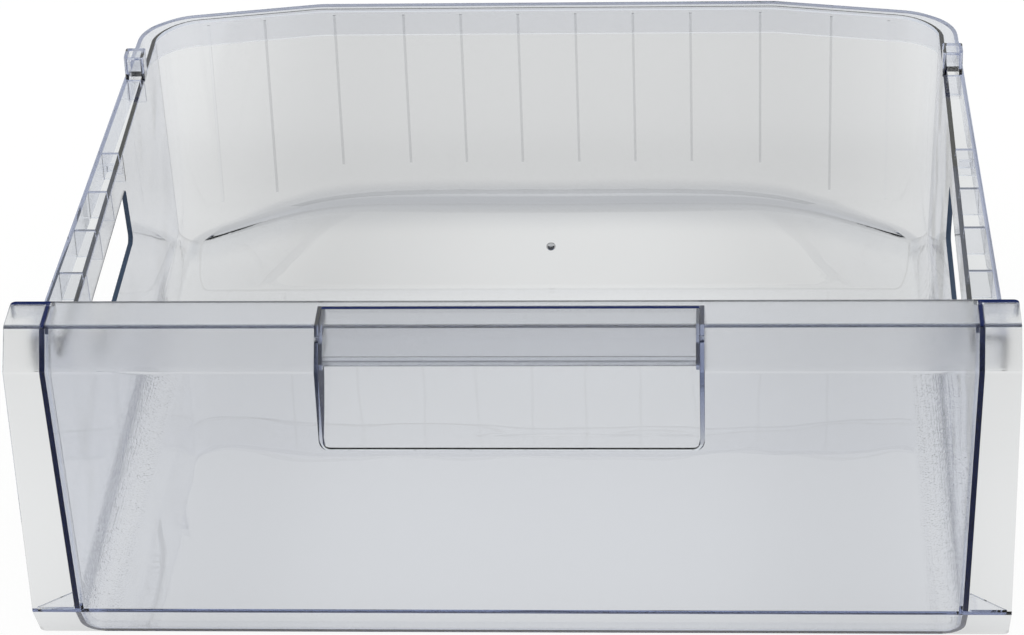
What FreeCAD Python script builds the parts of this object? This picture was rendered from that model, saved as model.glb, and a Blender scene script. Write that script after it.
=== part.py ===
import FreeCAD, Part
import math
import os

# Clear freezer drawer: a tub with rim rails, a wider front panel and a grip bar set into the panel.
# Units are millimetres. X is the width, the front faces -Y, Z is up and the base stands on Z = 0.
# Depths are written as s, the distance behind the front face.

V = FreeCAD.Vector

# Overall size
WIDTH = 455.0
DEPTH = 380.0
HEIGHT = 170.0
HALF_WIDTH = WIDTH / 2
FRONT = -DEPTH / 2

# Lengths that only carry a cutter or a blank past the part
OVERRUN = 20.0
WELL_PAST = DEPTH + WIDTH

# Sheet thicknesses and the clearances between the three mouldings
WALL = 2.5
SKIRT_WALL = 1.8
WEB_WALL = 2.0
SEAT_GAP = 0.06
GRIP_GAP = 0.12
PLAN_MARGIN = 0.2

# Front panel profile
FLANGE_DEPTH = 34.0
TOP_CREASE = 13.0
FACE_DROP = 17.0
FACE_TOP = HEIGHT - FACE_DROP
FACE_BOTTOM = 21.0
FOOT_DEPTH = 13.3
CREASE_R = 2.5
PANEL_CORNER_R = 2.5
WING_LIP = 9.0
TONGUE_WALL = 1.6
TONGUE_REACH = 4.5
TONGUE_GAP = 0.15

# Tub section: the side walls lean out towards the top and close in slightly towards the rear
SIDE_INSET = 23.1
FLOOR_HALF = HALF_WIDTH - SIDE_INSET
SIDE_LEAN = 0.027
FRONT_SPREAD = 0.2
REAR_SPREAD = -1.0
EDGE_R_FRONT = 7.5
EDGE_R_REAR = 20.0
REAR_CORNER_R = 21.5
BACK_LEAN = 0.018

# Rim, which is also the pair of runner rails
RIM_DROP = 32.0
RIM_Z = HEIGHT - RIM_DROP
HUMP_RISE = 7.5
HUMP_Z = RIM_Z + HUMP_RISE
HUMP_INSET = 22.5
HUMP_FOOT = HALF_WIDTH - HUMP_INSET
HUMP_HALF = 0.59 * HUMP_FOOT
HUMP_FOOT_R = 30.0
HUMP_TOP_R = 60.0
SKIRT_DROP = 17.5
RAIL_SETBACK = 20.0
RAIL_START = FLANGE_DEPTH + RAIL_SETBACK
RAIL_INSET_FRONT = 2.7
RAIL_INSET_REAR = 11.3
RAIL_HALF_FRONT = HALF_WIDTH - RAIL_INSET_FRONT
RAIL_HALF_REAR = HALF_WIDTH - RAIL_INSET_REAR
RIM_CORNER_R = 27.0
BACK_INSET = 6.4
BACK_INNER_TOP = DEPTH - BACK_INSET
CHEEK_SETBACK = 2.5
CHEEK_DEPTH = FLANGE_DEPTH - CHEEK_SETBACK
CHEEK_ROOT_R = 8.0
RAIL_RUN = DEPTH - RAIL_START
WEB_POSITIONS = [RAIL_START + WEB_WALL / 2 + share * RAIL_RUN for share in (0.0, 0.181, 0.305, 0.421, 0.541)]
STOP_WEB = RAIL_START + 0.7816 * RAIL_RUN
WEB_BOTTOM = RIM_Z - SKIRT_DROP
STOP_WEB_RISE = 4.0

# Stop lugs that stand on the rear of the rails
LUG_INSET_INNER = 20.5
LUG_INSET_OUTER = 10.3
LUG_INNER = HALF_WIDTH - LUG_INSET_INNER
LUG_OUTER = HALF_WIDTH - LUG_INSET_OUTER
LUG_DEPTH = 11.0
LUG_RISE = 12.8
LUG_TOP = RIM_Z + LUG_RISE
LUG_WALL = 1.8
LUG_R = 1.2

# Detent nubs low on the skirt, just behind the rearmost web
NUB_OFFSET = 8.5
NUB_REACH = 7.0
NUB_LENGTH = 3.0
NUB_HEIGHT = 3.5

# Side windows, from the second web to just before the last one
WINDOW_FRONT = WEB_POSITIONS[1] - WEB_WALL / 2
WINDOW_REAR_GAP = 3.8
WINDOW_SLANT = 3.0
WINDOW_HEAD_GAP = 0.7
WINDOW_SILL_DROP = 50.5
WINDOW_REAR_TOP = WEB_POSITIONS[-1] - WEB_WALL / 2 - WINDOW_REAR_GAP
WINDOW_REAR_BOTTOM = WINDOW_REAR_TOP + WINDOW_SLANT
WINDOW_TOP = WEB_BOTTOM - WINDOW_HEAD_GAP
WINDOW_BOTTOM = RIM_Z - WINDOW_SILL_DROP
WINDOW_R = 4.0

# Ramp at the rear of the floor: share of the floor's half width, the height at which its slope would reach
# the back wall, and the radius with which it turns up into the wall
RAMP_LENGTH = 57.5
RAMP_START = DEPTH - RAMP_LENGTH
RAMP_TOP_LAP = 0.25
RAMP_STATIONS = [(0.0, 27.0, 15.0), (0.40, 27.2, 14.0), (0.59, 25.0, 11.0), (0.73, 18.6, 8.0), (0.88, 8.0, 5.5), (1.086, 1.6, 4.0)]
FOLD_OUTER_SHARE = 0.4

# Vertical score ribs on the inside of the back wall: share of the hump's half width, and the lower end
SCORE_RIBS = [(0.127, 53.0), (0.380, 53.0), (0.633, 53.0), (0.939, 52.0), (1.250, 35.0), (1.502, 29.0)]
SCORE_WIDTH = 1.3
SCORE_HEIGHT = 0.45
SCORE_TOP_GAP = 3.5

# Gate mark left by moulding, on the ramp
GATE_R = 1.9
GATE_SHARE = 0.455
GATE_HEIGHT = 0.15

# Handle: the pocket is moulded with the panel and the grip bar is set into its mouth
POCKET_HALF = 85.2
POCKET_WALL = 2.0
POCKET_DROP = 58.0
POCKET_BOTTOM = HEIGHT - POCKET_DROP
POCKET_CORNER_R = 3.5
POCKET_FOOT_S = 1.5
POCKET_MID_S = 19.0
POCKET_MID_DROP = 37.0
POCKET_MID_Z = HEIGHT - POCKET_MID_DROP
POCKET_REAR = 29.0
GRIP_DROP = 15.4
GRIP_BOTTOM = HEIGHT - GRIP_DROP
GRIP_LIP = 6.5
GRIP_EDGE_R = 0.9
CHEEK_PLATE = 1.5
CHEEK_PLATE_DROP = 18.5
CHEEK_PLATE_BOTTOM = HEIGHT - CHEEK_PLATE_DROP
PIP_R = 1.6
PIP_S = 15.0
PIP_DROP = 9.0
PIP_Z = HEIGHT - PIP_DROP
PIP_REACH = 1.0


def at_x(x):
    return lambda s, z: V(x, FRONT + s, z)


def at_s(s):
    return lambda x, z: V(x, FRONT + s, z)


def at_z(z):
    return lambda x, s: V(x, FRONT + s, z)


def rounded_wire(corners, place):
    """Closed wire through (u, v, radius) corners; a corner with a radius is rounded."""
    pieces = []
    count = len(corners)
    for i in range(count):
        u, v, radius = corners[i]
        if radius <= 0:
            pieces.append([(u, v)])
            continue
        pu, pv, _ = corners[i - 1]
        nu, nv, _ = corners[(i + 1) % count]
        back = math.hypot(pu - u, pv - v)
        ahead = math.hypot(nu - u, nv - v)
        bu, bv = (pu - u) / back, (pv - v) / back
        au, av = (nu - u) / ahead, (nv - v) / ahead
        half = math.acos(max(-1.0, min(1.0, bu * au + bv * av))) / 2
        reach = radius / math.tan(half)
        mu, mv = bu + au, bv + av
        size = math.hypot(mu, mv)
        mu, mv = mu / size, mv / size
        centre = radius / math.sin(half)
        near = centre - radius
        pieces.append([
            (u + bu * reach, v + bv * reach),
            (u + mu * near, v + mv * near),
            (u + au * reach, v + av * reach),
        ])
    edges = []
    for i in range(count):
        piece = pieces[i]
        if len(piece) == 3:
            edges.append(Part.Arc(place(*piece[0]), place(*piece[1]), place(*piece[2])).toShape())
        start = place(*piece[-1])
        end = place(*pieces[(i + 1) % count][0])
        if start.distanceToPoint(end) > 1e-6:
            edges.append(Part.makeLine(start, end))
    return Part.Wire(edges)


def prism(corners, place, run):
    return Part.Face(rounded_wire(corners, place)).extrude(run)


def across(corners, half):
    """A side-view outline in (s, z) carried across the width from -half to half."""
    return prism(corners, at_x(-half), V(2 * half, 0, 0))


def along(corners, start, end):
    """A front-view outline in (x, z) carried back from s = start to s = end."""
    return prism(corners, at_s(start), V(0, end - start, 0))


def upward(corners, low, high):
    """A plan outline in (x, s) carried up from z = low to z = high."""
    return prism(corners, at_z(low), V(0, 0, high - low))


def box(x0, x1, s0, s1, z0, z1):
    return Part.makeBox(x1 - x0, s1 - s0, z1 - z0, V(x0, FRONT + s0, z0))


def both_sides(shape):
    return shape.fuse(shape.mirror(V(0, 0, 0), V(1, 0, 0)))


def meet(a, b):
    """Crossing of two lines, each a point and a direction."""
    (px, py), (dx, dy) = a
    (qx, qy), (ex, ey) = b
    t = ((qx - px) * ey - (qy - py) * ex) / (dx * ey - dy * ex)
    return (px + dx * t, py + dy * t)


def front_profile(depth):
    """The panel's five profile points, moved the given depth behind its outer face."""
    points = [(FLANGE_DEPTH, HEIGHT), (TOP_CREASE, HEIGHT), (0.0, FACE_TOP), (0.0, FACE_BOTTOM), (FOOT_DEPTH, 0.0)]
    lines = []
    for (s0, z0), (s1, z1) in zip(points, points[1:]):
        length = math.hypot(s1 - s0, z1 - z0)
        ds, dz = (s1 - s0) / length, (z1 - z0) / length
        lines.append(((s0 - dz * depth, z0 + ds * depth), (ds, dz)))
    moved = [(FLANGE_DEPTH, lines[0][0][1])]
    for first, second in zip(lines, lines[1:]):
        moved.append(meet(first, second))
    moved.append(meet(lines[-1], ((0.0, 0.0), (1.0, 0.0))))
    return moved


def behind_profile(depth):
    """Everything between a copy of the front profile and a plane well behind it."""
    points = front_profile(depth)
    rear = FLANGE_DEPTH + 4 * OVERRUN
    corners = [(rear, points[0][1], 0)] + [(s, z, 0) for s, z in points[1:]] + [(rear, 0.0, 0)]
    return across(corners, WIDTH)


# Tub


def side_x(s, z, grow):
    """Half width of the tub's inside at a depth and height, grown outwards by grow."""
    spread = FRONT_SPREAD + (REAR_SPREAD - FRONT_SPREAD) * s / DEPTH
    return FLOOR_HALF + spread + SIDE_LEAN * z + grow


def back_inner(z):
    return BACK_INNER_TOP - BACK_LEAN * (HUMP_Z - z)


def flat_sided(half_at, rear_at, front, low, high):
    """Block with six flat faces: half_at(s, z) is its half width and rear_at(z) its rear."""
    corner = {}
    for z in (low, high):
        for name, s in (("front", front), ("rear", rear_at(z))):
            for side in (-1, 1):
                corner[(name, z, side)] = V(side * half_at(s, z), FRONT + s, z)
    quads = [
        [("front", low, -1), ("front", low, 1), ("front", high, 1), ("front", high, -1)],
        [("rear", low, 1), ("rear", low, -1), ("rear", high, -1), ("rear", high, 1)],
        [("rear", low, -1), ("front", low, -1), ("front", high, -1), ("rear", high, -1)],
        [("front", low, 1), ("rear", low, 1), ("rear", high, 1), ("front", high, 1)],
        [("rear", low, -1), ("rear", low, 1), ("front", low, 1), ("front", low, -1)],
        [("front", high, -1), ("front", high, 1), ("rear", high, 1), ("rear", high, -1)],
    ]
    faces = [Part.Face(Part.makePolygon([corner[k] for k in quad] + [corner[quad[0]]])) for quad in quads]
    solid = Part.Solid(Part.Shell(faces))
    if solid.Volume < 0:
        solid.reverse()
    return solid


def edges_through(solid, test):
    """The straight edges whose two ends both pass the test."""
    return [e for e in solid.Edges if all(test(v.Point) for v in e.Vertexes)]


def tub_run(grow):
    """The tub's inside (grow 0) or outside carried along the depth, its lower edges rounded wider to the rear."""
    low = WALL - grow
    rear = DEPTH + OVERRUN
    block = flat_sided(lambda s, z: side_x(s, z, grow), lambda z: rear, -OVERRUN, low, HEIGHT + OVERRUN)
    for side in (-1, 1):
        edge = edges_through(block, lambda p: abs(p.z - low) < 0.01 and p.x * side > 0)
        starts_front = edge[0].Vertexes[0].Point.y < 0
        radii = (EDGE_R_FRONT + grow, EDGE_R_REAR + grow)
        first, last = radii if starts_front else radii[::-1]
        block = block.makeFillet(first, last, edge)
    return block


def tub_plan(grow):
    """The tub's plan outline with rounded rear corners, leaning with the walls."""
    half = lambda s, z: side_x(s, z, grow + PLAN_MARGIN)
    block = flat_sided(half, lambda z: back_inner(z) + grow, -2 * OVERRUN, -OVERRUN, HEIGHT + 2 * OVERRUN)
    behind = FRONT + DEPTH / 2
    upright = [e for e in edges_through(block, lambda p: p.y > behind) if abs(e.Vertexes[0].Z - e.Vertexes[1].Z) > HEIGHT]
    return block.makeFillet(REAR_CORNER_R + grow, upright)


def ramp_wire(x, height, grow, radius):
    """Side-view outline of what the ramp takes away: a straight slope that turns up into the back wall."""
    run = back_inner(height) + RAMP_TOP_LAP - RAMP_START
    slope = math.atan2(height, run)
    start = (RAMP_START + grow * math.tan(slope / 2), WALL - grow)
    corner_s = RAMP_START + run + grow
    corner = (corner_s, start[1] + (corner_s - start[0]) * math.tan(slope))
    bend = math.pi / 2 - slope
    reach = radius * math.tan(bend / 2)
    pull = radius * 4 / 3 * math.tan(bend / 4)
    ahead = (math.cos(slope), math.sin(slope))
    low = (corner[0] - reach * ahead[0], corner[1] - reach * ahead[1])
    high = (corner[0], corner[1] + reach)
    place = at_x(x)
    curve = Part.BezierCurve()
    curve.setPoles([
        place(*low),
        place(low[0] + pull * ahead[0], low[1] + pull * ahead[1]),
        place(high[0], high[1] - pull),
        place(*high),
    ])
    outer = [place(high[0] + OVERRUN, high[1]), place(high[0] + OVERRUN, -OVERRUN), place(start[0], -OVERRUN)]
    edges = [Part.makeLine(place(*start), place(*low)), curve.toShape(), Part.makeLine(place(*high), outer[0])]
    edges += [Part.makeLine(outer[0], outer[1]), Part.makeLine(outer[1], outer[2]), Part.makeLine(outer[2], place(*start))]
    return Part.Wire(edges)


def ramp_cut(grow, radius_share):
    half = [(share * FLOOR_HALF, h, r) for share, h, r in RAMP_STATIONS]
    stations = [(-x, h, r) for x, h, r in reversed(half[1:])] + half
    return Part.makeLoft([ramp_wire(x, h, grow, r * radius_share) for x, h, r in stations], True, False)


def rim_height(x):
    share = (HUMP_FOOT - abs(x)) / (HUMP_FOOT - HUMP_HALF)
    return RIM_Z + (HUMP_Z - RIM_Z) * max(0.0, min(1.0, share))


def hump_line(drop):
    """Rim height across the back, lowered by drop."""
    return [
        (-WIDTH, RIM_Z - drop, 0),
        (-HUMP_FOOT, RIM_Z - drop, HUMP_FOOT_R),
        (-HUMP_HALF, HUMP_Z - drop, HUMP_TOP_R),
        (HUMP_HALF, HUMP_Z - drop, HUMP_TOP_R),
        (HUMP_FOOT, RIM_Z - drop, HUMP_FOOT_R),
        (WIDTH, RIM_Z - drop, 0),
    ]


def rim_band(drop, start):
    """Slab between the rim's top and a copy of it lowered by drop."""
    lower = [(x, z, r) for x, z, r in reversed(hump_line(drop))]
    return along(hump_line(0.0) + lower, start, DEPTH + OVERRUN)


def rail_half(s):
    """Half width over the rail skirts at a depth."""
    return RAIL_HALF_FRONT + (RAIL_HALF_REAR - RAIL_HALF_FRONT) * (s - RAIL_START) / RAIL_RUN


def rim_plan(inset, low, high):
    """Outline of the rim's outer face, moved in by inset."""
    corners = [
        (-RAIL_HALF_FRONT + inset, RAIL_START, 0),
        (-RAIL_HALF_REAR + inset, DEPTH - inset, RIM_CORNER_R - inset),
        (RAIL_HALF_REAR - inset, DEPTH - inset, RIM_CORNER_R - inset),
        (RAIL_HALF_FRONT - inset, RAIL_START, 0),
    ]
    return upward(corners, low, high)


def rail_web(s0, low, zone):
    return box(-WIDTH, WIDTH, s0, s0 + WEB_WALL, low, RIM_Z - WEB_WALL / 4).common(zone)


def stop_lug():
    """Solid lug on the right rail, and the hollow that opens it from below."""
    rear = STOP_WEB + LUG_DEPTH
    outline = [
        (LUG_INNER, STOP_WEB, LUG_R),
        (LUG_INNER, rear, LUG_R),
        (LUG_OUTER, rear, LUG_R),
        (LUG_OUTER, STOP_WEB, LUG_R),
    ]
    lug = upward(outline, RIM_Z - WALL / 2, LUG_TOP)
    low = RIM_Z - 2 * WALL
    inner = LUG_WALL
    void = box(LUG_INNER + inner, LUG_OUTER - inner, STOP_WEB + inner, rear - inner, RIM_Z - WALL / 2, LUG_TOP - inner)
    # Below the rim the hollow starts outside the side wall
    wall_face = side_x(STOP_WEB, RIM_Z, WALL)
    slot = box(wall_face, LUG_OUTER - inner, STOP_WEB + WEB_WALL, rear - inner, low, RIM_Z)
    return lug, void.fuse(slot)


def score_ribs():
    ribs = []
    for share, z0 in SCORE_RIBS:
        x = share * HUMP_HALF
        z1 = rim_height(x) - SCORE_TOP_GAP
        outline = [
            (back_inner(z0) - SCORE_HEIGHT, z0, 0),
            (back_inner(z1) - SCORE_HEIGHT, z1, 0),
            (back_inner(z1) + WALL / 2, z1, 0),
            (back_inner(z0) + WALL / 2, z0, 0),
        ]
        ribs.append(both_sides(prism(outline, at_x(x - SCORE_WIDTH / 2), V(SCORE_WIDTH, 0, 0))))
    return ribs


def gate_mark():
    height = RAMP_STATIONS[0][1]
    run = back_inner(height) + RAMP_TOP_LAP - RAMP_START
    surface = WALL + GATE_SHARE * height
    return Part.makeCylinder(GATE_R, WALL + GATE_HEIGHT, V(0, FRONT + RAMP_START + GATE_SHARE * run, surface - WALL / 2))


def make_tub():
    inside = tub_run(0.0).common(tub_plan(0.0)).cut(ramp_cut(0.0, 1.0))
    outside = tub_run(WALL).common(tub_plan(WALL)).cut(ramp_cut(WALL, FOLD_OUTER_SHARE))

    # Everything above the rim goes, except the two cheeks that rise under the panel's flange
    top = HEIGHT + 3 * OVERRUN
    meet_s = BACK_INNER_TOP - 2 * REAR_CORNER_R
    side_cut = across([
        (CHEEK_DEPTH, top, 0),
        (CHEEK_DEPTH, RIM_Z, CHEEK_ROOT_R),
        (meet_s, RIM_Z, 0),
        (meet_s, top, 0),
    ], WIDTH)
    back_cut = along(hump_line(0.0) + [(WIDTH, top, 0), (-WIDTH, top, 0)], meet_s - 1.0, DEPTH + OVERRUN)
    front_zone = FLANGE_DEPTH + OVERRUN
    upper_cut = box(-WIDTH, WIDTH, -2 * OVERRUN, front_zone, HEIGHT - WALL - 2 * SEAT_GAP, top)
    front_cut = box(-WIDTH, WIDTH, -2 * OVERRUN, front_zone, -OVERRUN, top).cut(behind_profile(WALL + SEAT_GAP))
    body = outside.cut(inside).cut(side_cut).cut(back_cut).cut(upper_cut).cut(front_cut)

    # Rim ledge with its turned-down skirt and the webs between skirt and wall
    low = WEB_BOTTOM
    rim_solid = rim_plan(0.0, low - OVERRUN, top)
    hollow = rim_plan(SKIRT_WALL, low - OVERRUN, top)
    zone = rim_solid.cut(inside)
    rim = [rim_solid.common(rim_band(WALL, RAIL_START)).cut(inside)]
    rim.append(rim_solid.cut(hollow).common(rim_band(SKIRT_DROP, RAIL_START)))
    rim += [rail_web(s - WEB_WALL / 2, low + WEB_WALL / 4, zone) for s in WEB_POSITIONS]
    rim.append(rail_web(STOP_WEB, low + STOP_WEB_RISE, zone))
    nub_s = WEB_POSITIONS[-1] + NUB_OFFSET
    nub_x = rail_half(nub_s) - SKIRT_WALL / 3
    rim.append(both_sides(box(nub_x - NUB_REACH, nub_x, nub_s, nub_s + NUB_LENGTH, low, low + NUB_HEIGHT)))
    lug, lug_hollow = stop_lug()
    rim.append(both_sides(lug))
    body = body.fuse(rim).cut(both_sides(lug_hollow))

    window = across([
        (WINDOW_FRONT, WINDOW_TOP, WINDOW_R),
        (WINDOW_REAR_TOP, WINDOW_TOP, WINDOW_R),
        (WINDOW_REAR_BOTTOM, WINDOW_BOTTOM, WINDOW_R),
        (WINDOW_FRONT, WINDOW_BOTTOM, WINDOW_R),
    ], WIDTH)
    body = body.cut(window).fuse(score_ribs() + [gate_mark()])
    return body.removeSplitter()


# Front panel


def pocket_curve(extra):
    """Rear curve of the handle pocket, from the foot of its mouth up to the flange."""
    return [
        (POCKET_FOOT_S + extra * 0.2, POCKET_BOTTOM - extra),
        (POCKET_MID_S + extra * 0.8, POCKET_MID_Z - extra * 0.6),
        (POCKET_REAR + extra, HEIGHT - WALL / 2),
    ]


def pocket_solid(extra, front):
    """The pocket's space, grown by extra on the rear, the sides and underneath."""
    foot, middle, head = pocket_curve(extra)
    half = POCKET_HALF + extra
    place = at_x(-half)
    top = HEIGHT + OVERRUN
    corner = (front, foot[1])
    edges = [
        Part.makeLine(place(*corner), place(*foot)),
        Part.Arc(place(*foot), place(*middle), place(*head)).toShape(),
        Part.makeLine(place(*head), place(head[0], top)),
        Part.makeLine(place(head[0], top), place(front, top)),
        Part.makeLine(place(front, top), place(*corner)),
    ]
    solid = Part.Face(Part.Wire(edges)).extrude(V(2 * half, 0, 0))
    radius = POCKET_CORNER_R + extra
    lifted = top + OVERRUN
    outline = [(-half, foot[1], radius), (half, foot[1], radius), (half, lifted, 0), (-half, lifted, 0)]
    return solid.common(along(outline, front - OVERRUN, FLANGE_DEPTH + OVERRUN))


def make_panel():
    half = HALF_WIDTH
    rounds = [0, CREASE_R, CREASE_R, CREASE_R, 0]
    corners = [(s, z, r) for (s, z), r in zip(front_profile(0.0), rounds)]
    corners += [(s, z, 0) for s, z in reversed(front_profile(WALL))]
    plan = upward([
        (-half, -OVERRUN, 0),
        (-half, FLANGE_DEPTH, PANEL_CORNER_R),
        (half, FLANGE_DEPTH, PANEL_CORNER_R),
        (half, -OVERRUN, 0),
    ], -OVERRUN, HEIGHT + OVERRUN)
    face = along([
        (-half, HEIGHT + OVERRUN, 0),
        (-half, 0.0, PANEL_CORNER_R),
        (half, 0.0, PANEL_CORNER_R),
        (half, HEIGHT + OVERRUN, 0),
    ], -OVERRUN, FLANGE_DEPTH + OVERRUN)
    panel = across(corners, half).common(plan).common(face)

    # Turned-down lips on the rear of the two wing flanges
    lip_in = side_x(0.0, HEIGHT, WALL) + 0.4
    lip = box(lip_in, half, FLANGE_DEPTH - WALL, FLANGE_DEPTH, HEIGHT - WING_LIP, HEIGHT - WALL / 2).common(plan)

    # Flat gussets behind the wings at the lower crease
    gusset_in = side_x(0.0, FACE_BOTTOM, WALL) + 0.6
    gusset = upward([
        (gusset_in, WALL - 0.5, 0),
        (gusset_in, WALL + 14.0, 1.0),
        (half - 1.5, WALL - 0.5, 0),
    ], FACE_BOTTOM, FACE_BOTTOM + 1.6)
    panel = panel.fuse([both_sides(lip), both_sides(gusset)])

    # Tongue that stands inside the tub's front edge and locates it
    ring = tub_run(-TONGUE_GAP).cut(tub_run(-TONGUE_GAP - TONGUE_WALL))
    band = behind_profile(WALL - 0.5).cut(behind_profile(WALL + TONGUE_REACH))
    under_flange = box(-half, half, 0.0, FLANGE_DEPTH, 0.0, HEIGHT - WALL + 0.5)
    panel = panel.fuse(ring.common(band).common(under_flange))

    # Handle pocket
    panel = panel.fuse(pocket_solid(POCKET_WALL, -WALL).common(behind_profile(0.0)))
    panel = panel.cut(pocket_solid(0.0, -OVERRUN))
    for side in (-1, 1):
        start = V(side * (POCKET_HALF - WALL / 2), FRONT + PIP_S, PIP_Z)
        panel = panel.cut(Part.makeCylinder(PIP_R + GRIP_GAP, POCKET_WALL + WALL, start, V(side, 0, 0)))
    return panel.removeSplitter()


# Grip bar


def on_slope(z, points):
    """Depth of a profile's upper slope at height z."""
    (s0, z0), (s1, z1) = points[1], points[2]
    return s0 + (s1 - s0) * (z - z0) / (z1 - z0)


def make_grip():
    outer = front_profile(0.0)
    inner = front_profile(WALL)
    half = POCKET_HALF - GRIP_GAP
    rear = POCKET_REAR - GRIP_GAP
    lip_top = GRIP_BOTTOM + WALL
    lip_s = on_slope(GRIP_BOTTOM, outer)
    bar = across([
        (rear, HEIGHT, 0),
        (outer[1][0], outer[1][1], CREASE_R),
        (lip_s, GRIP_BOTTOM, GRIP_EDGE_R),
        (lip_s + GRIP_LIP, GRIP_BOTTOM, GRIP_EDGE_R),
        (lip_s + GRIP_LIP, lip_top, GRIP_EDGE_R),
        (on_slope(lip_top, inner), lip_top, 0),
        (inner[1][0], inner[1][1], 0),
        (rear, inner[0][1], 0),
    ], half)

    # End cheeks lie against the pocket's side walls and stop short of its rear curve
    cheek_outline = [
        (rear - 0.3, HEIGHT - CHEEK_PLATE, 0),
        (TOP_CREASE, HEIGHT - CHEEK_PLATE, 0),
        (lip_s + 1.5, GRIP_BOTTOM + 0.5, 0),
        (lip_s + 3.0, CHEEK_PLATE_BOTTOM, 1.0),
        (rear - 0.3, CHEEK_PLATE_BOTTOM, 0),
    ]
    cheek = prism(cheek_outline, at_x(half - CHEEK_PLATE), V(CHEEK_PLATE, 0, 0))
    room = pocket_solid(0.0, -OVERRUN)
    room.translate(V(0, -4 * GRIP_GAP, 0))
    cheek = cheek.common(room)
    pip = Part.makeCylinder(PIP_R, CHEEK_PLATE + PIP_REACH, V(half - CHEEK_PLATE, FRONT + PIP_S, PIP_Z), V(1, 0, 0))
    grip = bar.fuse([both_sides(cheek), both_sides(pip)])
    return grip.removeSplitter()


def save(name, shape):
    solids = shape.Solids
    if len(solids) != 1:
        raise ValueError(name + " should be one solid, found " + str(len(solids)))
    solid = solids[0]
    if not solid.isValid():
        raise ValueError(name + " is not valid")
    solid.exportStep("parts/" + name + ".step")
    print(name, len(solid.Faces), "faces", round(solid.Volume / 1000, 1), "cm3")


os.makedirs("parts", exist_ok=True)
save("tub", make_tub())
save("front_panel", make_panel())
save("grip", make_grip())
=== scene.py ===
import bmesh
import bpy
from mathutils import Matrix, Vector

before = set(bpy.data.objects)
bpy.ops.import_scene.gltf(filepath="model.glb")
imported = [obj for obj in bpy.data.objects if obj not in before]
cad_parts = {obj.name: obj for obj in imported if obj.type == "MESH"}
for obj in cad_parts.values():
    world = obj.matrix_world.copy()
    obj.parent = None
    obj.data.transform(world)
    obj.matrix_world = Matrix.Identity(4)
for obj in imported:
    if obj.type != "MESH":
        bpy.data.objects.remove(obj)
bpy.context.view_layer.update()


def srgb(text):
    """A hex colour as linear red, green, blue and alpha."""
    parts = [int(text[i:i + 2], 16) / 255 for i in (1, 3, 5)]
    return [p / 12.92 if p <= 0.04045 else ((p + 0.055) / 1.055) ** 2.4 for p in parts] + [1.0]


def node(tree, kind, settings=None, inputs=None):
    """Adds one node, sets its properties and its sockets, and links any socket given as an output."""
    made = tree.nodes.new(kind)
    for name, value in (settings or {}).items():
        setattr(made, name, value)
    for name, value in (inputs or {}).items():
        socket = made.inputs[name]
        if isinstance(value, bpy.types.NodeSocket):
            tree.links.new(value, socket)
        else:
            socket.default_value = value
    return made


def new_material(name):
    material = bpy.data.materials.new(name)
    material.use_nodes = True
    material.node_tree.nodes.clear()
    return material, material.node_tree


def level_along(tree, value, levels):
    """A level between 0 and 1 read from (place, level) pairs."""
    low = levels[0][0]
    high = levels[-1][0]
    run = node(tree, "ShaderNodeMapRange", inputs={"Value": value, "From Min": low, "From Max": high})
    curve = node(tree, "ShaderNodeFloatCurve", inputs={"Value": run.outputs["Result"]})
    points = curve.mapping.curves[0].points
    for where, level in levels[1:-1]:
        points.new((where - low) / (high - low), level)
    points[0].location = (0.0, levels[0][1])
    points[-1].location = (1.0, levels[-1][1])
    curve.mapping.update()
    return curve.outputs["Value"]


# Camera, at the photograph's viewing angle
camera_data = bpy.data.cameras.new("camera")
camera = bpy.data.objects.new("camera", camera_data)
bpy.context.scene.collection.objects.link(camera)
bpy.context.scene.camera = camera
camera_data.sensor_width = 36.0
camera_data.lens = 129.98
camera_data.clip_start = 0.05
camera_data.clip_end = 60.0
camera_right = Vector((0.99800, 0.05279, -0.03464))
camera_down = Vector((-0.00186, -0.52391, -0.85177))
camera_ahead = Vector((-0.06312, 0.85014, -0.52276))
turn = Matrix((camera_right, -camera_down, -camera_ahead)).transposed()
camera.matrix_world = Matrix.Translation((0.1057, -1.5761, 1.0342)) @ turn.to_4x4()


# Clear polystyrene, injection moulded: a bright glassy skin over a sheet that looks nearly clear across its
# thickness and darkens to navy along its length
CLEAR_IOR = 1.59
ABSORB_COLOUR = srgb("#8C9ECB")
ABSORB_DENSITY = 58.0
EDGE_ROUGHNESS = 0.25

# Flow waves of the moulding, about 60 mm apart and almost flat
WAVE_SCALE = 16.0
WAVE_DEPTH = 0.0003

# Satin grain on the panel above its polished face and on the whole grip, and how softly it starts
PANEL_SATIN_ABOVE = 0.1535
GRIP_SATIN_ABOVE = 0.100
SATIN_EDGE = 0.0006
SATIN_ROUGHNESS = 0.20
GRIP_VEIL = 0.05

# Stippled strip along the lower side curves: where it starts and ends, and its dimples 1.3 mm apart
STIPPLE_OUTWARD = (0.189, 0.193)
STIPPLE_UPWARD = (0.030, 0.024)
STIPPLE_REARWARD = (0.12, 0.09)
STIPPLE_SCALE = 750.0
STIPPLE_DEPTH = 0.00016
STIPPLE_ROUGHNESS = 0.05

# The painted shade along the fold where the ramp turns up into the back wall: its height at shares of the
# half width
FOLD_REACH = 0.2044
FOLD_HEIGHTS = [
    (0.0, 0.0300),
    (0.40, 0.0302),
    (0.59, 0.0280),
    (0.73, 0.0215),
    (0.88, 0.0110),
    (1.0, 0.0050),
]
FOLD_SCALE = 20.0
FOLD_SPREAD = 0.36
FOLD_MARGIN = 0.0015
FOLD_FADE = (1.0, 0.4)
FOLD_START = (0.150, 0.166)
# the colour of the fold's painted shade
FOLD_SHADE_TINT = "#EDEEF0"

# The back wall's lean, and the middle of the gate mark on the ramp
BACK_LEAN = 0.018
GATE_PLACE = (0.0, 0.1549, 0.0155)


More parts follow.
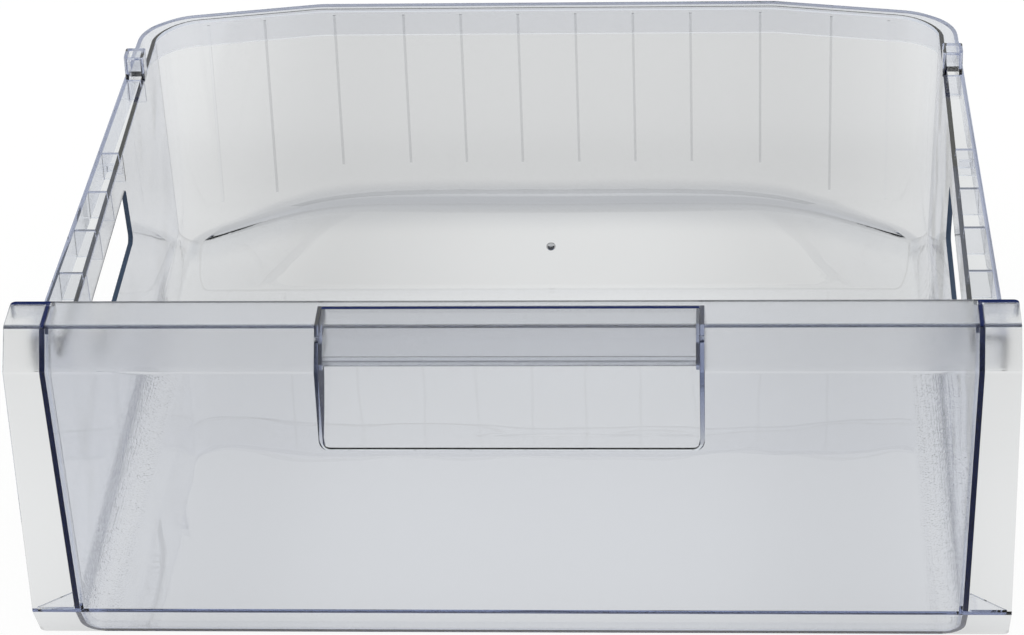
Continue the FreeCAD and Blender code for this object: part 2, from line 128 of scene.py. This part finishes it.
def fold_painted_shade(tree, split):
    """Painted shade: a grey band along the ramp's fold, widest in the middle."""
    across = node(tree, "ShaderNodeMath", {"operation": "ABSOLUTE"}, {0: split.outputs["X"]})
    levels = [(share * FOLD_REACH, height * FOLD_SCALE) for share, height in FOLD_HEIGHTS]
    level = level_along(tree, across.outputs[0], levels)
    height = node(tree, "ShaderNodeMath", {"operation": "DIVIDE"}, {0: level, 1: FOLD_SCALE})
    away = node(tree, "ShaderNodeMath", {"operation": "SUBTRACT"}, {
        0: split.outputs["Z"],
        1: height.outputs[0],
    })
    away = node(tree, "ShaderNodeMath", {"operation": "ABSOLUTE"}, {0: away.outputs[0]})
    width = node(tree, "ShaderNodeMath", {"operation": "MULTIPLY_ADD"}, {
        0: height.outputs[0],
        1: FOLD_SPREAD,
        2: FOLD_MARGIN,
    })
    near = node(tree, "ShaderNodeMath", {"operation": "DIVIDE"}, {0: away.outputs[0], 1: width.outputs[0]})
    strength = node(tree, "ShaderNodeMapRange", {"interpolation_type": "SMOOTHSTEP"}, {
        "Value": near.outputs[0],
        "From Min": FOLD_FADE[0],
        "From Max": FOLD_FADE[1],
    })
    rear = node(tree, "ShaderNodeMapRange", {"interpolation_type": "SMOOTHSTEP"}, {
        "Value": split.outputs["Y"],
        "From Min": FOLD_START[0],
        "From Max": FOLD_START[1],
    })
    amount = node(tree, "ShaderNodeMath", {"operation": "MULTIPLY"}, {
        0: strength.outputs["Result"],
        1: rear.outputs["Result"],
    })
    mixed = node(tree, "ShaderNodeMix", {"data_type": "RGBA"}, {
        0: amount.outputs[0],
        6: srgb("#FFFFFF"),
        7: srgb(FOLD_SHADE_TINT),
    })
    return mixed.outputs[2]


def zone_amount(tree, place, split, zones):
    """The largest of the zones, given as (amount, ranges). A range bounds a place or the way a face lies."""
    facing = node(tree, "ShaderNodeTexCoord").outputs["Normal"]
    facing = node(tree, "ShaderNodeSeparateXYZ", inputs={0: facing})
    sockets = {"y": split.outputs["Y"], "z": split.outputs["Z"]}
    for name, source in (("x", split), ("nx", facing), ("ny", facing), ("nz", facing)):
        axis = source.outputs[name[-1].upper()]
        sockets[name] = node(tree, "ShaderNodeMath", {"operation": "ABSOLUTE"}, {0: axis}).outputs[0]
    lean = node(tree, "ShaderNodeMath", {"operation": "MULTIPLY_ADD"}, {
        0: split.outputs["Z"],
        1: -BACK_LEAN,
        2: split.outputs["Y"],
    })
    sockets["back"] = lean.outputs[0]
    gate = node(tree, "ShaderNodeVectorMath", {"operation": "DISTANCE"}, {0: place, 1: GATE_PLACE})
    sockets["gate"] = gate.outputs["Value"]
    total = 0.0
    for amount, ranges in zones:
        zone = amount
        for name, low, high in ranges:
            inside = node(tree, "ShaderNodeMath", {"operation": "COMPARE"}, {
                0: sockets[name],
                1: (low + high) / 2,
                2: (high - low) / 2,
            })
            zone = node(tree, "ShaderNodeMath", {"operation": "MULTIPLY"}, {
                0: inside.outputs[0],
                1: zone,
            }).outputs[0]
        total = node(tree, "ShaderNodeMath", {"operation": "MAXIMUM"}, {0: zone, 1: total}).outputs[0]
    return total


def satin_band(tree, split, above, low, high):
    """A value that goes from low to high where the satin grain starts."""
    band = node(tree, "ShaderNodeMapRange", {"interpolation_type": "SMOOTHSTEP"}, {
        "Value": split.outputs["Z"],
        "From Min": above - SATIN_EDGE,
        "From Max": above + SATIN_EDGE,
        "To Min": low,
        "To Max": high,
    })
    return band.outputs["Result"]


def stipple_strip(tree, place, split, normal):
    """The strip's extent, and the surface's normal with the dimples pressed in."""
    away = node(tree, "ShaderNodeMath", {"operation": "ABSOLUTE"}, {0: split.outputs["X"]})
    side = node(tree, "ShaderNodeMapRange", {"interpolation_type": "SMOOTHSTEP"}, {
        "Value": away.outputs[0],
        "From Min": STIPPLE_OUTWARD[0],
        "From Max": STIPPLE_OUTWARD[1],
    })
    low = node(tree, "ShaderNodeMapRange", {"interpolation_type": "SMOOTHSTEP"}, {
        "Value": split.outputs["Z"],
        "From Min": STIPPLE_UPWARD[0],
        "From Max": STIPPLE_UPWARD[1],
    })
    ahead = node(tree, "ShaderNodeMapRange", {"interpolation_type": "SMOOTHSTEP"}, {
        "Value": split.outputs["Y"],
        "From Min": STIPPLE_REARWARD[0],
        "From Max": STIPPLE_REARWARD[1],
    })
    strip = node(tree, "ShaderNodeMath", {"operation": "MULTIPLY"}, {
        0: side.outputs["Result"],
        1: low.outputs["Result"],
    })
    strip = node(tree, "ShaderNodeMath", {"operation": "MULTIPLY"}, {
        0: strip.outputs[0],
        1: ahead.outputs["Result"],
    })
    cells = node(tree, "ShaderNodeTexVoronoi", {"feature": "SMOOTH_F1"}, {
        "Vector": place,
        "Scale": STIPPLE_SCALE,
        "Smoothness": 0.8,
        "Randomness": 0.5,
    })
    dimples = node(tree, "ShaderNodeBump", inputs={
        "Height": cells.outputs["Distance"],
        "Strength": strip.outputs[0],
        "Distance": STIPPLE_DEPTH,
        "Normal": normal,
    })
    return strip.outputs[0], dimples.outputs["Normal"]


def clear_polystyrene(name, edges, satin_above=None, veil=0.0, stipple=False, fold=False):
    """Polished, with a satin grain, stipple or the fold's painted shade where asked, and edges given as
    (colour, zones) that carry the sheet's depth of colour, painted shade and painted light.
    """
    material, tree = new_material(name)
    place = node(tree, "ShaderNodeTexCoord").outputs["Object"]
    split = node(tree, "ShaderNodeSeparateXYZ", inputs={0: place})
    waves = node(tree, "ShaderNodeTexNoise", inputs={
        "Vector": place,
        "Scale": WAVE_SCALE,
        "Detail": 1.0,
        "Roughness": 0.4,
    })
    bump = node(tree, "ShaderNodeBump", inputs={
        "Height": waves.outputs["Fac"],
        "Strength": 1.0,
        "Distance": WAVE_DEPTH,
    })
    skin = {
        "Base Color": srgb("#FFFFFF"),
        "Roughness": 0.0,
        "IOR": CLEAR_IOR,
        "Transmission Weight": 1.0,
        "Normal": bump.outputs["Normal"],
    }
    if satin_above is not None:
        skin["Roughness"] = satin_band(tree, split, satin_above, 0.0, SATIN_ROUGHNESS)
    if veil:
        skin["Transmission Weight"] = satin_band(tree, split, satin_above, 1.0, 1.0 - veil)
    if stipple:
        strip, skin["Normal"] = stipple_strip(tree, place, split, skin["Normal"])
        grain = node(tree, "ShaderNodeMath", {"operation": "MULTIPLY"}, {0: strip, 1: STIPPLE_ROUGHNESS})
        skin["Roughness"] = grain.outputs[0]
    if fold:
        # painted shade along the ramp's fold, put into the base colour
        skin["Base Color"] = fold_painted_shade(tree, split)
    surface = node(tree, "ShaderNodeBsdfPrincipled", inputs=skin).outputs["BSDF"]
    for colour, zones in edges:
        edge = node(tree, "ShaderNodeBsdfPrincipled", inputs={
            "Base Color": srgb(colour),
            "Roughness": EDGE_ROUGHNESS,
            "IOR": CLEAR_IOR,
            "Specular IOR Level": 0.0,
        })
        surface = node(tree, "ShaderNodeMixShader", inputs={
            0: zone_amount(tree, place, split, zones),
            1: surface,
            2: edge.outputs["BSDF"],
        }).outputs[0]
    inside = node(tree, "ShaderNodeVolumeAbsorption", inputs={
        "Color": ABSORB_COLOUR,
        "Density": ABSORB_DENSITY,
    })
    node(tree, "ShaderNodeOutputMaterial", inputs={"Surface": surface, "Volume": inside.outputs["Volume"]})
    return material


def dress(name, material):
    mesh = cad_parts[name].data
    mesh.materials.clear()
    mesh.materials.append(material)


# Which way a face lies, from either side of it
FACES_FRONT = ("ny", 0.5, 1.1)
FACES_SIDE = ("nx", 0.5, 1.1)
FACES_UP = ("nz", 0.5, 1.1)

# Places in metres that several edges share; x is the distance from the middle plane
FLANGE_TOP = ("z", 0.1690, 0.1705)
FLANGE_REAR = ("y", -0.1575, -0.150)
ABOVE_POCKET = ("z", 0.1635, 0.1705)
BEHIND_CREASE = ("y", -0.1765, -0.150)
POCKET_WALL = ("x", 0.0848, 0.0876)

# Cut and welded edges show the sheet's own depth of colour, with painted shade on top where the dark room
# and the floor would darken them: dark navy from every side
TUB_NAVY = [
    (0.9, [("ny", 0.4, 1.1), ("y", -0.190, -0.170)]),
    (0.9, [FACES_UP, ("z", 0.1660, 0.170)]),
]
PANEL_NAVY = [
    (0.95, [FACES_FRONT, FLANGE_REAR, ("x", 0.2075, 0.230), ("z", 0.1676, 0.1705)]),
    # painted contact shadow: the panel's foot where it stands on the floor
    (0.85, [FACES_UP, ("z", -0.001, 0.0010), ("y", -0.1770, -0.1745), ("x", 0.0, 0.1970)]),
    (0.95, [FACES_UP, FLANGE_TOP, ("y", -0.1588, -0.1555), ("x", 0.2092, 0.2272)]),
    (0.85, [FACES_UP, FLANGE_TOP, ("y", -0.1775, -0.1555), ("x", 0.2092, 0.2110)]),
    (0.75, [FACES_SIDE, POCKET_WALL, ("z", 0.1115, 0.1635), ("y", -0.1905, -0.150)]),
    (0.95, [FACES_SIDE, POCKET_WALL, ABOVE_POCKET, BEHIND_CREASE]),
]
GRIP_NAVY = [
    (0.95, [FACES_UP, FLANGE_TOP, ("y", -0.1633, -0.1608), ("x", 0.0, 0.0860)]),
    (0.95, [FACES_FRONT, ("y", -0.1625, -0.150), ("z", 0.1686, 0.1705)]),
    (0.95, [FACES_SIDE, ("x", 0.0835, 0.0860), ABOVE_POCKET, BEHIND_CREASE]),
]
# Painted highlight: the flange's rear edge between the wings is painted pale
PANEL_PAINTED_PALE_EDGE = [
    (0.7, [FACES_FRONT, FLANGE_REAR, ("x", 0.0870, 0.2075)]),
]
# Score ribs and gate mark stand proud of the sheet. The ribs get a little painted shade along them, and the
# gate mark is a little greyer
TUB_RIB_SHADE_AND_GATE_GREY = [
    (0.18, [("back", 0.18020, 0.18080), ("ny", 0.6, 1.1), ("x", 0.0, 0.180), ("z", 0.026, 0.145)]),
    (0.45, [("gate", 0.0, 0.0027)]),
]
# The windows' cut edges are thinner and look slate blue: the sheet's depth of colour with painted shade
TUB_SLATE = [
    (0.9, [("nx", -0.1, 0.5), ("x", 0.2055, 0.2105), ("y", -0.0780, 0.0400), ("z", 0.0868, 0.1203)]),
]
NAVY_DEPTH_AND_SHADE = "#1E2A5C"
SLATE_DEPTH_AND_SHADE = "#4B596F"
PALE = "#BFC1C6"
GREY = "#808287"
dress("tub", clear_polystyrene(
    "clear polystyrene, tub",
    [(NAVY_DEPTH_AND_SHADE, TUB_NAVY), (SLATE_DEPTH_AND_SHADE, TUB_SLATE), (GREY, TUB_RIB_SHADE_AND_GATE_GREY)],
    stipple=True,
    fold=True,
))
dress("front_panel", clear_polystyrene(
    "clear polystyrene, panel",
    [(NAVY_DEPTH_AND_SHADE, PANEL_NAVY), (PALE, PANEL_PAINTED_PALE_EDGE)],
    satin_above=PANEL_SATIN_ABOVE,
))
dress("grip", clear_polystyrene(
    "clear polystyrene, grip",
    [(NAVY_DEPTH_AND_SHADE, GRIP_NAVY)],
    satin_above=GRIP_SATIN_ABOVE,
    veil=GRIP_VEIL,
))


# Floor and studio. The camera sees plain white. Seen through the plastic, the floor carries painted shade:
# dim in front, where the dark room lies, and a painted shadow just behind the drawer. These are its levels
# along the depth, and away from the middle, where painted shadow makes it darker under the tub than beside
# it.
PAINTED_FLOOR_SHADE_DEPTH = [
    (-0.40, 0.07),
    (-0.28, 0.07),
    (-0.21, 0.55),
    (-0.175, 0.78),
    (-0.13, 0.93),
    (0.02, 0.88),
    (0.12, 0.80),
    (0.21, 0.80),
    (0.235, 0.76),
    (0.27, 0.73),
    (0.34, 0.78),
    (0.60, 0.76),
]
PAINTED_FLOOR_SHADE_ASIDE = [
    (0.0, 0.84),
    (0.08, 0.83),
    (0.15, 0.78),
    (0.19, 0.81),
    (0.24, 0.90),
    (0.60, 0.90),
]
ASIDE_GAIN = 1.14

# The dim room in front is lighter seen through the plastic than mirrored in it
ROOM_THROUGH = 0.30
ROOM_WAY = (0.0, -0.87, 0.50)
ROOM_EDGE = (0.10, 0.65)
ROOM_LEVEL = 0.06

# Painted light: light gathers behind the ramp's middle, and the rear corners stand against a floor painted
# brighter
SPOT_PLACE = (0.02, 0.17, 0.0)
SPOT_RADII = (0.17, 0.02)
SPOT_GAIN = 0.12
SPOT_END = (0.235, 0.21)
REAR_CORNER_OUTWARD = (0.06, 0.24)
REAR_CORNER_REARWARD = (0.12, 0.26)
REAR_CORNER_GAIN = 0.09

FLOOR_SIZE = 12.0
FLOOR_GAP = 0.0004
FLOOR_GLOW = 0.92
FLOOR_SHADE = [0.10, 0.10, 0.10, 1.0]
FLOOR_TINT = [0.99, 0.99, 0.955, 1.0]
WORLD_TINT = [0.96, 0.98, 0.945, 1.0]
# What light that a matt surface gathers sees of the floor and of the world
PLAIN_FLOOR = 0.85
PLAIN_WORLD = 0.9


def make_floor():
    mesh = bpy.data.meshes.new("floor")
    shape = bmesh.new()
    bmesh.ops.create_grid(shape, x_segments=1, y_segments=1, size=FLOOR_SIZE)
    shape.to_mesh(mesh)
    shape.free()
    floor = bpy.data.objects.new("floor", mesh)
    bpy.context.scene.collection.objects.link(floor)
    floor.location.z = -FLOOR_GAP
    material, tree = new_material("white studio floor")
    rays = node(tree, "ShaderNodeLightPath")
    plain = node(tree, "ShaderNodeMath", {"operation": "GREATER_THAN"}, {
        0: rays.outputs["Diffuse Depth"],
        1: 0.5,
    })
    glow = node(tree, "ShaderNodeEmission", inputs={"Color": srgb("#FFFFFF"), "Strength": FLOOR_GLOW})
    faint = node(tree, "ShaderNodeBsdfDiffuse", inputs={"Color": FLOOR_SHADE})
    direct = node(tree, "ShaderNodeAddShader", inputs={0: glow.outputs[0], 1: faint.outputs[0]})
    place = node(tree, "ShaderNodeTexCoord").outputs["Object"]
    split = node(tree, "ShaderNodeSeparateXYZ", inputs={0: place})
    # painted shade and shadow on the floor, seen only through the plastic
    depth = level_along(tree, split.outputs["Y"], PAINTED_FLOOR_SHADE_DEPTH)
    bent = node(tree, "ShaderNodeMath", {"operation": "MULTIPLY"}, {
        0: rays.outputs["Is Transmission Ray"],
        1: ROOM_THROUGH,
    })
    depth = node(tree, "ShaderNodeMath", {"operation": "MAXIMUM"}, {0: depth, 1: bent.outputs[0]})
    from_spot = node(tree, "ShaderNodeVectorMath", {"operation": "DISTANCE"}, {0: place, 1: SPOT_PLACE})
    spot = node(tree, "ShaderNodeMapRange", {"interpolation_type": "SMOOTHSTEP"}, {
        "Value": from_spot.outputs["Value"],
        "From Min": SPOT_RADII[0],
        "From Max": SPOT_RADII[1],
        "To Max": SPOT_GAIN,
    })
    inner = node(tree, "ShaderNodeMapRange", {"interpolation_type": "SMOOTHSTEP"}, {
        "Value": split.outputs["Y"],
        "From Min": SPOT_END[0],
        "From Max": SPOT_END[1],
    })
    total = node(tree, "ShaderNodeMath", {"operation": "MULTIPLY_ADD"}, {
        0: spot.outputs["Result"],
        1: inner.outputs["Result"],
        2: depth.outputs[0],
    })
    aside = node(tree, "ShaderNodeMath", {"operation": "ABSOLUTE"}, {0: split.outputs["X"]})
    beside = level_along(tree, aside.outputs[0], PAINTED_FLOOR_SHADE_ASIDE)
    total = node(tree, "ShaderNodeMath", {"operation": "MULTIPLY"}, {0: total.outputs[0], 1: beside})
    outward = node(tree, "ShaderNodeMapRange", {"interpolation_type": "SMOOTHSTEP"}, {
        "Value": aside.outputs[0],
        "From Min": REAR_CORNER_OUTWARD[0],
        "From Max": REAR_CORNER_OUTWARD[1],
    })
    rearward = node(tree, "ShaderNodeMapRange", {"interpolation_type": "SMOOTHSTEP"}, {
        "Value": split.outputs["Y"],
        "From Min": REAR_CORNER_REARWARD[0],
        "From Max": REAR_CORNER_REARWARD[1],
        "To Max": REAR_CORNER_GAIN,
    })
    total = node(tree, "ShaderNodeMath", {"operation": "MULTIPLY_ADD"}, {
        0: outward.outputs["Result"],
        1: rearward.outputs["Result"],
        2: total.outputs[0],
    })
    total = node(tree, "ShaderNodeMath", {"operation": "MULTIPLY"}, {0: total.outputs[0], 1: ASIDE_GAIN})
    through = node(tree, "ShaderNodeEmission", inputs={"Color": FLOOR_TINT, "Strength": total.outputs[0]})
    even = node(tree, "ShaderNodeEmission", inputs={"Color": srgb("#FFFFFF"), "Strength": PLAIN_FLOOR})
    unseen = node(tree, "ShaderNodeMixShader", inputs={
        0: plain.outputs[0],
        1: through.outputs[0],
        2: even.outputs[0],
    })
    surface = node(tree, "ShaderNodeMixShader", inputs={
        0: rays.outputs["Is Camera Ray"],
        1: unseen.outputs[0],
        2: direct.outputs[0],
    })
    node(tree, "ShaderNodeOutputMaterial", inputs={"Surface": surface.outputs[0]})
    mesh.materials.append(material)


def make_world():
    """White all round, with the dim room in front of the drawer and above the camera."""
    world = bpy.data.worlds.new("studio")
    bpy.context.scene.world = world
    world.use_nodes = True
    world.cycles.sampling_method = "NONE"
    tree = world.node_tree
    tree.nodes.clear()
    rays = node(tree, "ShaderNodeLightPath")
    way = node(tree, "ShaderNodeTexCoord").outputs["Generated"]
    towards = node(tree, "ShaderNodeVectorMath", {"operation": "DOT_PRODUCT"}, {0: way, 1: ROOM_WAY})
    dim = node(tree, "ShaderNodeMapRange", {"interpolation_type": "SMOOTHSTEP"}, {
        "Value": towards.outputs["Value"],
        "From Min": ROOM_EDGE[0],
        "From Max": ROOM_EDGE[1],
        "To Min": 1.0,
        "To Max": ROOM_LEVEL,
    })
    bent = node(tree, "ShaderNodeMath", {"operation": "MULTIPLY"}, {
        0: rays.outputs["Is Transmission Ray"],
        1: ROOM_THROUGH,
    })
    dim = node(tree, "ShaderNodeMath", {"operation": "MAXIMUM"}, {
        0: dim.outputs["Result"],
        1: bent.outputs[0],
    })
    plain = node(tree, "ShaderNodeMath", {"operation": "GREATER_THAN"}, {
        0: rays.outputs["Diffuse Depth"],
        1: 0.5,
    })
    level = node(tree, "ShaderNodeMix", {"data_type": "FLOAT"}, {
        0: plain.outputs[0],
        2: dim.outputs[0],
        3: PLAIN_WORLD,
    })
    level = node(tree, "ShaderNodeMix", {"data_type": "FLOAT"}, {
        0: rays.outputs["Is Camera Ray"],
        2: level.outputs[0],
        3: 1.0,
    })
    tint = node(tree, "ShaderNodeMix", {"data_type": "RGBA"}, {
        0: rays.outputs["Is Camera Ray"],
        6: WORLD_TINT,
        7: srgb("#FFFFFF"),
    })
    sky = node(tree, "ShaderNodeBackground", inputs={
        "Color": tint.outputs[2],
        "Strength": level.outputs[0],
    })
    node(tree, "ShaderNodeOutputWorld", inputs={"Surface": sky.outputs[0]})


make_floor()
make_world()

scene = bpy.context.scene
scene.view_settings.view_transform = "Standard"
scene.cycles.max_bounces = 16
scene.cycles.transmission_bounces = 16
scene.cycles.glossy_bounces = 16
